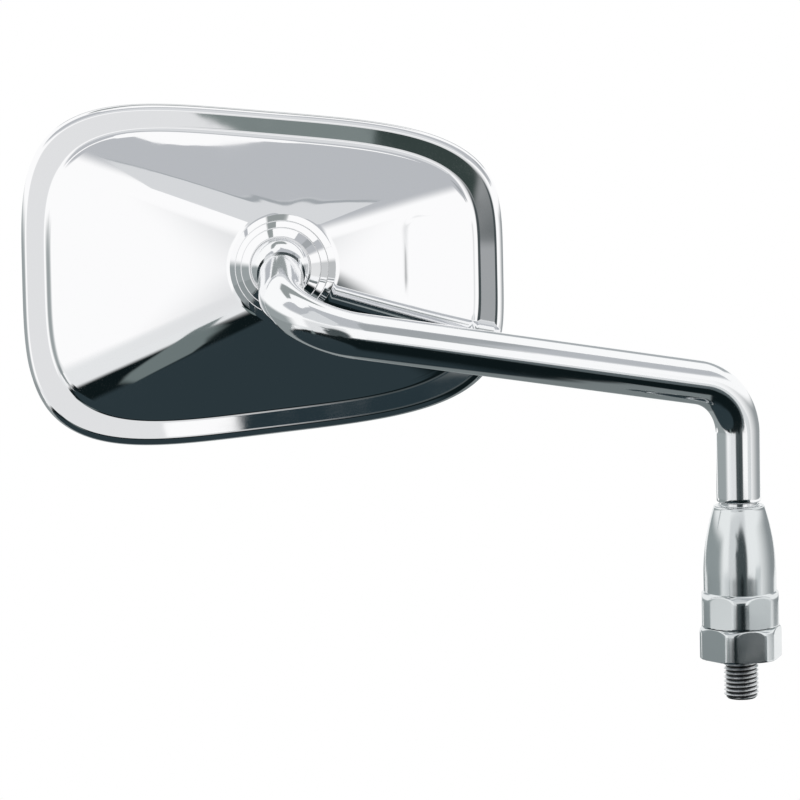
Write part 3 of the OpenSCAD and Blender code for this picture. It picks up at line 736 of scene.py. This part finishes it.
class MIRROR_OT_glass(bpy.types.Operator):
    """Builds the convex glass and the rubber seat round it"""
    bl_idname = "mirror.glass"
    bl_label = "Glass and rubber seat"

    def execute(self, context):
        head, sizes = context.scene.mirror_head, context.scene.mirror_glass
        rim_z = -head.band_depth - head.rim_radius
        lip_in = rim_z - head.side + head.lip_thick
        apex = lip_in - head.lip_thick + sizes.sink
        angles = rim_angles(head, head.lip, 360)

        def flat_ring(inset, z):
            return [(*rim_point(head, a, inset), z) for a in angles]

        def glass_ring(inset, behind, share=1):
            ring = []
            for a in angles:
                x, y = rim_point(head, a, inset)
                u, v = (x + head.off_x) * share, (y + head.off_y) * share
                sag = sizes.radius - math.sqrt(sizes.radius ** 2 - u ** 2 - v ** 2)
                ring.append((u - head.off_x, v - head.off_y, apex + sag + behind))
            return ring

        edge = head.rim_wall + sizes.fit + sizes.bite
        bevel = 0.3 * MM
        rings = [glass_ring(edge + bevel, 0, k / 24) for k in range(1, 25)]
        rings += [glass_ring(edge, bevel), glass_ring(edge, sizes.thick - bevel)]
        rings += [glass_ring(edge + bevel, sizes.thick, k / 12) for k in range(12, 0, -1)]
        piece = mesh_piece("mirror_glass", *skin(rings, False), head_matrix(), 25)
        dress(piece, finish_of("glass"), "head", "mirror_glass", "glass")

        outer = head.rim_wall + sizes.fit
        inner = outer + sizes.rubber
        front, back = lip_in + sizes.fit, rim_z - 0.6 * MM - sizes.fit
        gap, soft = 0.02 * MM, 0.35 * MM
        rings = [flat_ring(outer, back), flat_ring(outer, front), flat_ring(inner - soft, front),
                 flat_ring(inner - 0.3 * soft, front + 0.12 * MM), glass_ring(inner, -0.2 * MM),
                 glass_ring(inner, -gap), glass_ring(edge - gap, -gap),
                 glass_ring(edge - gap, sizes.thick + gap), glass_ring(inner, sizes.thick + gap),
                 flat_ring(inner, back)]
        piece = mesh_piece("rubber_seat", *skin(rings, True), head_matrix(), 60)
        dress(piece, finish_of("rubber"), "head", "rubber", "glass_gasket")
        return {"FINISHED"}


class MIRROR_OT_stem(bpy.types.Operator):
    """Builds the bent stem and the ball on its end"""
    bl_idname = "mirror.stem"
    bl_label = "Stem and ball"

    def execute(self, context):
        sizes = context.scene.mirror_stem
        corner_1 = Vector((0, 0, sizes.corner))
        out = Vector((-math.cos(sizes.swing), -math.sin(sizes.swing), math.tan(sizes.rise)))
        corner_2 = corner_1 + sizes.reach * out
        neck = (BALL - corner_2).normalized()
        flat = math.sqrt((sizes.ball / 2) ** 2 - (sizes.bar / 2 + 0.4 * MM) ** 2)
        bar, foot, edge = sizes.bar / 2, sizes.foot / 2, 0.5 * MM
        up, shoulder = Vector((0, 0, 1)), sizes.shoulder
        low = [(sizes.foot_from, foot), (shoulder - 0.01 * MM, foot), (shoulder, foot + 0.15 * MM),
               (shoulder + 0.01 * MM, bar - edge), (shoulder + 0.15 * edge, bar - 0.7 * edge),
               (shoulder + 0.7 * edge, bar - 0.15 * edge), (shoulder + 1.1 * edge, bar),
               (shoulder + 3 * edge, bar)]
        line = [(up * z, r) for z, r in low] + [(corner_1, bar), (corner_2, bar), (BALL - neck * flat, bar)]
        start = bpy.data.meshes.new("stem line")
        start.from_pydata([p for p, r in line], [(i, i + 1) for i in range(len(line) - 1)], [])
        radii = start.attributes.new("bar_radius", "FLOAT", "POINT")
        radii.data.foreach_set("value", [r for p, r in line])
        piece = grown("stem_bar", start, swept_bar_tree(), {"Bend radius": sizes.bend}, finish_of("bar"))
        clean(piece.data, 40)
        dress(piece, finish_of("bar"), "arm", "stem_chrome", "stem")

        ball = sizes.ball / 2
        hole, floor_z = 4.6 * MM, -ball + 4.4 * MM
        spigot, screw = 4.5 * MM, 2.8 * MM
        start_angle = math.acos(flat / ball)
        end_angle = math.pi - math.asin(hole / ball)
        profile = [(spigot, flat)]
        for k in range(49):
            a = start_angle + (end_angle - start_angle) * k / 48
            profile.append((ball * math.sin(a), ball * math.cos(a)))
        profile += [(hole, floor_z), (screw, floor_z), (screw, 0), (spigot, 0)]
        place = Matrix.Translation(BALL) @ (-neck).to_track_quat("Z", "Y").to_matrix().to_4x4()
        piece = mesh_piece("neck_ball", *skin(turned(profile, 128), True), place)
        dress(piece, finish_of("bar"), "arm", "stem_chrome", "stem_ball")
        return {"FINISHED"}


class MIRROR_OT_nut(bpy.types.Operator):
    """Builds the bullet-shaped clamp nut"""
    bl_idname = "mirror.nut"
    bl_label = "Clamp nut"

    def execute(self, context):
        sizes = context.scene.mirror_foot
        stem = context.scene.mirror_stem
        low, top = sizes.nut_from, sizes.nut_from + sizes.nut_height
        bar, bullet = sizes.nut_bar / 2, sizes.bullet / 2
        lean = bar - bullet
        rise = math.sqrt(2 * sizes.nut_crown_radius * lean - lean ** 2)
        edge, clear = 0.4 * MM, 0.3 * MM
        profile = lower_edge(bar, low, edge)
        profile += [(bar, low + sizes.nut_strip * k / 6) for k in range(2, 6)]
        profile += crown(bar, low + sizes.nut_strip, sizes.nut_crown_radius, rise, 26)
        profile += [(bullet, low + sizes.nut_strip + rise + HOLD)]
        drop = bullet - sizes.bullet_top / 2
        run = sizes.nut_height - sizes.bullet_from
        arc = (run ** 2 + drop ** 2) / (2 * drop)
        stop = sizes.nut_height - sizes.bullet_edge
        start = sizes.nut_strip + rise + 0.5 * MM
        for k in range(49):
            h = start + (stop - start) * k / 48
            over = max(0.0, h - sizes.bullet_from)
            profile.append((bullet - arc + math.sqrt(arc ** 2 - over ** 2), low + h))
        soft, r_end = sizes.bullet_edge, profile[-1][0]
        for k in range(1, 9):
            a = math.pi / 2 * k / 8
            profile.append((r_end - soft * (1 - math.cos(a)), top - soft + soft * math.sin(a)))
        inner = stem.foot / 2 + clear
        bore = sizes.boss / 2 + 0.05 * MM
        ledge = low + sizes.boss_length + 6.9 * MM
        profile += [(r_end - soft - 0.1 * MM, top), (inner + 0.2 * MM, top), (inner, top - 0.2 * MM),
                    (inner, ledge), (bore, ledge), (bore, low + 0.6 * MM), (bore + 0.6 * MM, low)]
        rings = milled(profile, 360, sizes.nut_flats, sizes.nut_turn)
        piece = mesh_piece("bullet_nut", *skin(rings, True))
        dress(piece, finish_of("foot"), "nut", "foot_chrome", "clamp_nut")
        return {"FINISHED"}


class MIRROR_OT_adapter(bpy.types.Operator):
    """Builds the lower hexagon with its two threads"""
    bl_idname = "mirror.adapter"
    bl_label = "Adapter"

    def execute(self, context):
        sizes = context.scene.mirror_foot
        bar, edge = sizes.base_bar / 2, 0.4 * MM
        strip = sizes.base_height - sizes.base_crown
        hub = 0.5 * bar
        profile = [(hub, 0)] + lower_edge(bar, 0, edge)
        profile += [(bar, strip * k / 6) for k in range(2, 6)]
        profile += crown(bar, strip, sizes.base_crown_radius, sizes.base_crown, 22)
        last = profile[-1][0]
        profile += [(last - HOLD, sizes.base_height), (hub, sizes.base_height)]
        rings = milled(profile, 360, sizes.base_flats, sizes.base_turn)
        parts = [mesh_piece("hexagon", *skin(rings, False))]
        tree = thread_tree()
        sunk, rows_a_turn = 0.5 * MM, 12
        for label, radius, pitch, run, top, flip in (
                ("stud", sizes.stud / 2, sizes.stud_pitch, sizes.stud_length, 0.0, False),
                ("boss", sizes.boss / 2, sizes.boss_pitch, sizes.boss_length, sizes.base_height, True)):
            rows = int((run + sunk) / pitch * rows_a_turn)
            rod = grown(label, bpy.data.meshes.new(label + " start"), tree,
                        {"Radius": radius, "Pitch": pitch, "Depth": THREAD_DEPTH * pitch,
                         "Length": run + sunk, "Tip": 1.0 * MM, "Rows": rows,
                         "Hand": -1.0 if flip else 1.0}, finish_of("foot"))
            if flip:
                rod.data.transform(Matrix.Translation((0, 0, top - sunk)) @ Matrix.Scale(-1, 4, (0, 0, 1)))
                rod.data.flip_normals()
            else:
                rod.data.transform(Matrix.Translation((0, 0, top + sunk)))
            clean(rod.data, 60)
            parts.append(rod)
        piece = join_meshes("stud_adapter", parts)
        dress(piece, finish_of("foot"), "foot", "foot_chrome", "adapter")
        piece.data.materials.append(finish_of("thread"))
        for face in piece.data.polygons:
            if face.center.z < -0.01 * MM:
                face.material_index = 1 if math.hypot(face.center.x, face.center.y) < sizes.stud else 0
        return {"FINISHED"}


class MIRROR_OT_inside(bpy.types.Operator):
    """Gives the pieces held inside the head and the nut their finishes"""
    bl_idname = "mirror.inside"
    bl_label = "Inner pieces"

    def execute(self, context):
        inside = {
            "steel": ["swivel_collar", "collar_pin", "ball_screw", "pressure_cup", "spring",
                      "retainer_plate", "retainer_screw_1", "retainer_screw_2", "retainer_screw_3",
                      "retainer_screw_4"],
            "brass": ["lower_washer", "upper_washer"],
            "nylon": ["ball_liner"],
            "foam": ["foam_pad"],
        }
        for key, names in inside.items():
            for name in names:
                node = frame["nodes"][name]
                node.data.materials.clear()
                node.data.materials.append(finish_of(key))
        return {"FINISHED"}


def ray_mix(tree, seen, light):
    """The seen shader for camera, glossy and transmission rays, and the light shader for the rest."""
    path = add(tree, "ShaderNodeLightPath").outputs
    one = add(tree, "ShaderNodeMath", {0: path["Is Camera Ray"], 1: path["Is Glossy Ray"]},
              operation="MAXIMUM")
    two = add(tree, "ShaderNodeMath", {0: one.outputs[0], 1: path["Is Transmission Ray"]},
              operation="MAXIMUM")
    return add(tree, "ShaderNodeMixShader", {"Fac": two.outputs[0], 1: light, 2: seen}).outputs[0]


def ring_of(height, spans, step=6):
    """Inner and outer level outlines round the head, from (angle, inner distance, outer distance) spans.
    Angles count from the camera's side, positive to the right."""
    inner, outer = [], []
    for (a0, in0, out0), (a1, in1, out1) in zip(spans, spans[1:]):
        count = max(1, round((a1 - a0) / step))
        for k in range(count):
            t = k / count
            a = math.radians(a0 + (a1 - a0) * t)
            for points, r in ((inner, in0 + (in1 - in0) * t), (outer, out0 + (out1 - out0) * t)):
                points.append((AROUND[0] + r * math.sin(a), AROUND[1] - r * math.cos(a), height))
    return inner, outer


def softened(inner, soft):
    """An outline and the same outline pushed outwards by the soft width."""
    middle = sum((Vector(p) for p in inner), Vector()) / len(inner)
    outer = []
    for p in inner:
        away = Vector(p) - middle
        outer.append(tuple(middle + away * (1 + soft / away.length)))
    return inner, outer


def eased(points):
    """A smooth line through the points, which bends evenly from each one to the next."""
    steps = 8
    ends = [points[0]] + list(points) + [points[-1]]
    out = []
    for p0, p1, p2, p3 in zip(ends, ends[1:], ends[2:], ends[3:]):
        for k in range(steps):
            t = k / steps
            out.append(tuple(0.5 * (2 * b + (c - a) * t + (2 * a - 5 * b + 4 * c - d) * t ** 2
                                    + (3 * b - a - 3 * c + d) * t ** 3)
                             for a, b, c, d in zip(p0, p1, p2, p3)))
    return out + [points[-1]]


def ribbon(points, half, soft):
    """A thin level ribbon along a line of points, with its soft border."""
    inner, outer = [], []
    for side in (1, -1):
        run = list(range(len(points)))[::side]
        for i in run:
            before, after = Vector(points[max(i - 1, 0)]), Vector(points[min(i + 1, len(points) - 1)])
            along = (after - before).normalized()
            across = Vector((-along.y, along.x, 0)) * side
            inner.append(tuple(Vector(points[i]) + across * half))
            outer.append(tuple(Vector(points[i]) + across * (half + soft)))
    return inner, outer


def oblong(x0, y0, x1, y1):
    """The four corners of a rectangle."""
    return [(x0, y0), (x1, y0), (x1, y1), (x0, y1)]


def placed(axis, place, points):
    """Points in a plane across that axis, from their two other coordinates."""
    at = "xyz".index(axis)
    return [tuple(p[:at]) + (place,) + tuple(p[at:]) for p in points]


def card(name, outlines, code):
    """A card seen only in reflections: full inside the inner outline and fading out to the outer one."""
    inner, outer = outlines
    n = len(inner)
    faces = [tuple(range(n))]
    for i in range(n):
        k = (i + 1) % n
        same_i, same_k = inner[i] == outer[i], inner[k] == outer[k]
        if not (same_i and same_k):
            faces.append((i, k) + (() if same_k else (n + k,)) + (() if same_i else (n + i,)))
    mesh = bpy.data.meshes.new("card_" + name)
    mesh.from_pydata(list(inner) + list(outer), [], faces)
    fade = mesh.attributes.new("fade", "FLOAT", "POINT")
    fade.data.foreach_set("value", [1.0] * n + [0.0] * n)
    panel = linked("card_" + name, mesh)
    panel.visible_camera = False
    panel.visible_diffuse = False
    panel.visible_shadow = False
    material, tree = new_material("Card " + name)
    share = add(tree, "ShaderNodeAttribute", attribute_name="fade")
    smooth = add(tree, "ShaderNodeMapRange", {"Value": share.outputs["Fac"]},
                 interpolation_type="SMOOTHSTEP")
    clear = add(tree, "ShaderNodeBsdfTransparent")
    glow = add(tree, "ShaderNodeEmission", {"Color": linear(code), "Strength": 1.0})
    mix = add(tree, "ShaderNodeMixShader", {
        "Fac": smooth.outputs[0], 1: clear.outputs[0], 2: glow.outputs[0]})
    add(tree, "ShaderNodeOutputMaterial", {"Surface": mix.outputs[0]})
    mesh.materials.append(material)


def soft_card(name, axis, place, soft, code, points):
    """A flat card across an axis, with a soft border of that width."""
    card(name, softened(placed(axis, place, points), soft), code)


def overhead_cards():
    """Greys above, for the top facet, the arm's upper bands and the neck."""
    inner, outer = ring_of(1.2, [
        (-78, 1.35, 1.9), (-60, 1.45, 2.1), (30, 1.45, 2.1), (60, 1.9, 2.7), (98, 2.0, 2.8),
        (99, 2.0, 2.8)])
    near = placed("z", 1.2, [
        (0.9, -0.02), (0.45, -0.1), (0.1, -0.13), (-0.12, -0.06), (-0.15, -0.2), (-0.25, -0.28),
        (-0.42, -0.45), (-0.5, -0.5), (-0.58, -0.44), (-0.58, -0.27), (-0.7, -0.2)])
    card("overhead", (inner + near, outer + near), "#B9BCC0")
    # A paler part beyond a thin seam draws the arc across the top facet
    seam = eased([
        (-1.1, -1.2), (-0.7, -0.96), (-0.53, -0.83), (-0.4, -0.67), (-0.27, -0.5), (-0.13, -0.42),
        (0.04, -0.64), (0.21, -0.88), (0.42, -1.18)])
    soft_card("beyond", "z", 1.19, 0.012, "#D8DADC", seam + [(0.36, -2.1), (-0.6, -2.1), (-1.4, -1.7)])
    card("seam", ribbon(placed("z", 1.18, seam), 0.003, 0.008), "#A2A7AB")
    # A grey far behind draws the arm's and the rim's upper edges
    soft_card("back", "z", 1.2, 0.25, "#A9AEB1", [(-1.0, 1.5), (1.3, 1.3), (1.8, 3.4), (-1.4, 3.4)])
    # The grey behind gives the flat tone of the neck
    soft_card("behind", "z", 1.2, 0.1, "#959B9B", [
        (-0.62, 0.02), (-0.52, 0.45), (-0.3, 0.72), (-0.02, 0.72), (0.12, 0.5), (0.1, 0.38), (-0.3, 0.34),
        (-0.45, 0.05)])
    # A darker right side gives the grey band along the arm
    soft_card("overhead_right", "z", 1.19, 0.08, "#A2A6A9", [
        (0.75, -0.25), (1.0, -0.05), (1.2, -0.35), (1.45, -0.7), (2.2, -1.25), (1.9, -1.4), (1.1, -0.8),
        (0.8, -0.45)])


def ground_cards():
    """Dark and grey ground, for the bottom facet, the arm's underside and the thread's roots."""
    card("ground", ring_of(-0.2, [
        (-180, 0.12, 0.2), (-120, 0.24, 0.34), (-90, 0.36, 0.46), (-60, 0.58, 0.7), (-45, 0.82, 0.94),
        (-34, 0.88, 1.0), (-28, 0.8, 1.05), (-10, 1.15, 1.5), (25, 1.2, 1.42), (50, 0.95, 1.35),
        (62, 0.7, 0.9), (75, 0.42, 0.52), (90, 0.38, 0.46), (110, 0.2, 0.3), (180, 0.12, 0.2)]), "#0E1719")
    # Mid grey behind the mirror closes the lower edges of the arm and of the head
    soft_card("ground_behind", "z", -0.21, 0.1, "#8F9697", [
        (-0.5, 0.15), (0.3, 0.15), (0.3, 1.6), (-0.6, 1.6)])
    # A soft grey on the far side darkens the arm's pale band
    soft_card("horizon", "z", -0.205, 0.3, "#D9DCDD", [
        (0.82, -0.8), (0.85, -0.5), (2.4, -1.15), (2.0, -1.8)])
    soft_card("ground_haze", "z", -0.205, 0.6, "#E6E8E9", [
        (-0.5, -0.4), (-1.1, -1.0), (-1.2, -1.6), (-0.6, -1.5), (-0.3, -1.0)])
    card("slate", ring_of(-0.19, [
        (-180, 0.1, 0.2), (-120, 0.24, 0.34), (-60, 0.46, 0.56), (-30, 0.5, 0.58), (-10, 0.45, 0.55),
        (10, 0.33, 0.4), (40, 0.12, 0.24), (90, 0.08, 0.18), (180, 0.1, 0.2)], 10), "#2B373C")
    # The grey lens in the dark ridge at the lower left
    soft_card("ridge", "z", -0.185, 0.03, "#6C7777", [
        (-0.44, -0.44), (-0.5, -0.5), (-0.55, -0.58), (-0.6, -0.68), (-0.7, -0.86), (-0.7, -0.92),
        (-0.62, -0.79), (-0.53, -0.66), (-0.46, -0.56), (-0.43, -0.5)])
    soft_card("ground_left", "z", -0.205, 0.15, "#8E9596", [
        (-0.55, -0.15), (-1.2, -0.35), (-1.2, 0.8), (-0.4, 0.5)])
    # Mid grey to the right, for the lower hexagon's front flat and the arm's lower bands
    soft_card("ground_right", "z", -0.18, 0.05, "#565F62", [
        (0.3, -1.35), (0.32, -0.95), (0.52, -0.68), (0.36, -0.36), (0.42, -0.3), (0.74, -0.54),
        (0.78, -0.72), (0.62, -1.05)])
    # A lighter patch that the underside of the arm reflects
    soft_card("under_arm", "z", -0.17, 0.03, "#757D7E", [
        (0.13, -0.11), (0.16, 0.0), (0.18, 0.4), (-0.1, 0.4), (-0.1, 0.14), (0.0, 0.06), (0.05, -0.03)])


def upright_cards():
    """Cards beside the mirror and round the camera, for streaks, edges and the flat band."""
    # Dark streak down the middle of the stem, the nut and the stud, blacker at its foot
    turns = [k * math.pi / 16 for k in range(32)]
    soft_card("streak", "y", -1.0, 0.14, "#454D4F", [
        (0.02 + 0.26 * math.cos(a), -0.02 + 0.29 * math.sin(a)) for a in turns])
    soft_card("streak_foot", "y", -0.99, 0.1, "#12191B", [
        (-0.12, -0.5), (0.18, -0.5), (0.14, -0.24), (0.04, -0.15), (-0.07, -0.24)])
    # Greys beside the mirror, for the side edges of the stem, the nut and the hexagons
    card("left", (placed("x", -1.1, oblong(-0.2, -0.25, 1.6, 0.1)),
                  placed("x", -1.1, oblong(-0.75, -0.25, 2.0, 0.27))), "#9AA1A2")
    card("right", (placed("x", 1.1, oblong(0.6, -0.25, 2.0, 0.12)),
                   placed("x", 1.1, oblong(-0.9, -0.25, 2.1, 0.34))), "#969B9D")
    # Small cards by the camera, for the patches on the flat band round the head
    soft_card("haze", "y", -1.02, 0.3, "#E2E3E4", oblong(-0.75, -0.1, 0.2, 0.45))
    soft_card("band_top", "y", -0.98, 0.008, "#7A8483", [
        (-0.366, 0.27), (-0.3, 0.236), (-0.252, 0.222), (-0.252, 0.27), (-0.3, 0.28)])
    soft_card("band_corner", "y", -0.975, 0.006, "#36413F", [
        (-0.256, 0.222), (-0.205, 0.203), (-0.2, 0.25), (-0.256, 0.272)])
    soft_card("band_right", "y", -0.98, 0.008, "#A0A3A5", oblong(-0.215, 0.12, -0.17, 0.185))
    soft_card("band_low", "y", -0.98, 0.008, "#27343A", [
        (-0.335, 0.06), (-0.18, 0.06), (-0.18, 0.115), (-0.335, 0.1)])
    soft_card("band_white", "y", -0.975, 0.004, "#FFFFFF", oblong(-0.378, 0.07, -0.34, 0.105))


class MIRROR_OT_cards(bpy.types.Operator):
    """Hangs the grey and dark cards that the chrome reflects"""
    bl_idname = "mirror.cards"
    bl_label = "Reflection cards"

    def execute(self, context):
        overhead_cards()
        ground_cards()
        upright_cards()
        return {"FINISHED"}


class MIRROR_OT_stage(bpy.types.Operator):
    """Sets the camera, the floor, the white surroundings and the soft light"""
    bl_idname = "mirror.stage"
    bl_label = "Stage"

    def execute(self, context):
        scene = context.scene
        sizes = scene.mirror_stage
        scene.view_settings.view_transform = "Standard"
        pitch, roll = sizes.pitch, sizes.roll
        ahead = Vector((0, math.cos(pitch), -math.sin(pitch)))
        right, up = Vector((1, 0, 0)), Vector((0, math.sin(pitch), math.cos(pitch)))
        side = right * math.cos(roll) - up * math.sin(roll)
        top = up * math.cos(roll) + right * math.sin(roll)
        data = bpy.data.cameras.new("Camera")
        data.sensor_width = 36
        data.lens = sizes.lens
        data.clip_start, data.clip_end = 0.05, 200
        camera = linked("Camera", data)
        camera.rotation_euler = Matrix((side, top, -ahead)).transposed().to_euler()
        camera.location = (sizes.camera_x, sizes.camera_y, sizes.camera_z)
        scene.camera = camera

        world = bpy.data.worlds.new("White studio")
        scene.world = world
        world.use_nodes = True
        tree = world.node_tree
        tree.nodes.clear()
        seen = add(tree, "ShaderNodeBackground", {"Color": (1, 1, 1, 1), "Strength": 1.0})
        light = add(tree, "ShaderNodeBackground", {"Color": (1, 1, 1, 1), "Strength": 0.8})
        add(tree, "ShaderNodeOutputWorld", {"Surface": ray_mix(tree, seen.outputs[0], light.outputs[0])})

        half, z = sizes.floor_size, sizes.floor
        floor = bpy.data.meshes.new("floor")
        corners = [(-half, -half, z), (half, -half, z), (half, half, z), (-half, half, z)]
        floor.from_pydata(corners, [], [(0, 1, 2, 3)])
        ground = linked("floor", floor)
        material, tree = new_material("White floor")
        white = add(tree, "ShaderNodeEmission", {"Color": (1, 1, 1, 1), "Strength": 1.0})
        matt = add(tree, "ShaderNodeBsdfDiffuse", {"Color": linear("#F7F7F7")})
        add(tree, "ShaderNodeOutputMaterial", {"Surface": ray_mix(tree, white.outputs[0], matt.outputs[0])})
        floor.materials.append(material)

        lamp = bpy.data.lights.new("Softbox", "AREA")
        lamp.shape = "RECTANGLE"
        lamp.size, lamp.size_y = 1.2, 0.8
        lamp.energy = 8
        softbox = linked("Softbox", lamp)
        softbox.location = (-0.6, -0.9, 1.6)
        softbox.visible_glossy = False
        aim = Vector((-0.06, 0, 0.08)) - softbox.location
        softbox.rotation_euler = aim.to_track_quat("-Z", "Y").to_euler()
        return {"FINISHED"}


class MIRROR_PT_panel(bpy.types.Panel):
    """Lists the steps, the sizes and the colours"""
    bl_idname = "MIRROR_PT_panel"
    bl_label = "Motorcycle mirror"
    bl_space_type = "VIEW_3D"
    bl_region_type = "UI"
    bl_category = "Mirror"

    def draw(self, context):
        steps = self.layout.column(align=True)
        for step in STEPS:
            steps.operator(step.bl_idname)
        for label, name in GROUPS.items():
            box = self.layout.box()
            box.label(text=label)
            group = getattr(context.scene, name)
            for key in group.__annotations__:
                box.prop(group, key)


STEPS = (MIRROR_OT_shell, MIRROR_OT_glass, MIRROR_OT_stem, MIRROR_OT_nut, MIRROR_OT_adapter,
         MIRROR_OT_inside, MIRROR_OT_cards, MIRROR_OT_stage)
GROUPS = {"Head": "mirror_head", "Glass": "mirror_glass", "Stem": "mirror_stem", "Foot": "mirror_foot",
          "Colours": "mirror_colours", "Stage": "mirror_stage"}
GROUP_TYPES = (HeadSizes, GlassSizes, StemSizes, FootSizes, FinishColours, StageSettings)
CLASSES = GROUP_TYPES + STEPS + (MIRROR_PT_panel,)


def register():
    """Registers the classes and hangs the groups of sizes on the scene."""
    for cls in CLASSES:
        bpy.utils.register_class(cls)
    for name, kind in zip(GROUPS.values(), GROUP_TYPES):
        setattr(bpy.types.Scene, name, PointerProperty(type=kind))


def unregister():
    """Takes all of that back."""
    for name in GROUPS.values():
        delattr(bpy.types.Scene, name)
    for cls in reversed(CLASSES):
        bpy.utils.unregister_class(cls)


def main():
    """Builds everything."""
    register()
    bpy.ops.mirror.shell()
    bpy.ops.mirror.glass()
    bpy.ops.mirror.stem()
    bpy.ops.mirror.nut()
    bpy.ops.mirror.adapter()
    bpy.ops.mirror.inside()
    bpy.ops.mirror.cards()
    bpy.ops.mirror.stage()


if __name__ == "__main__":
    main()
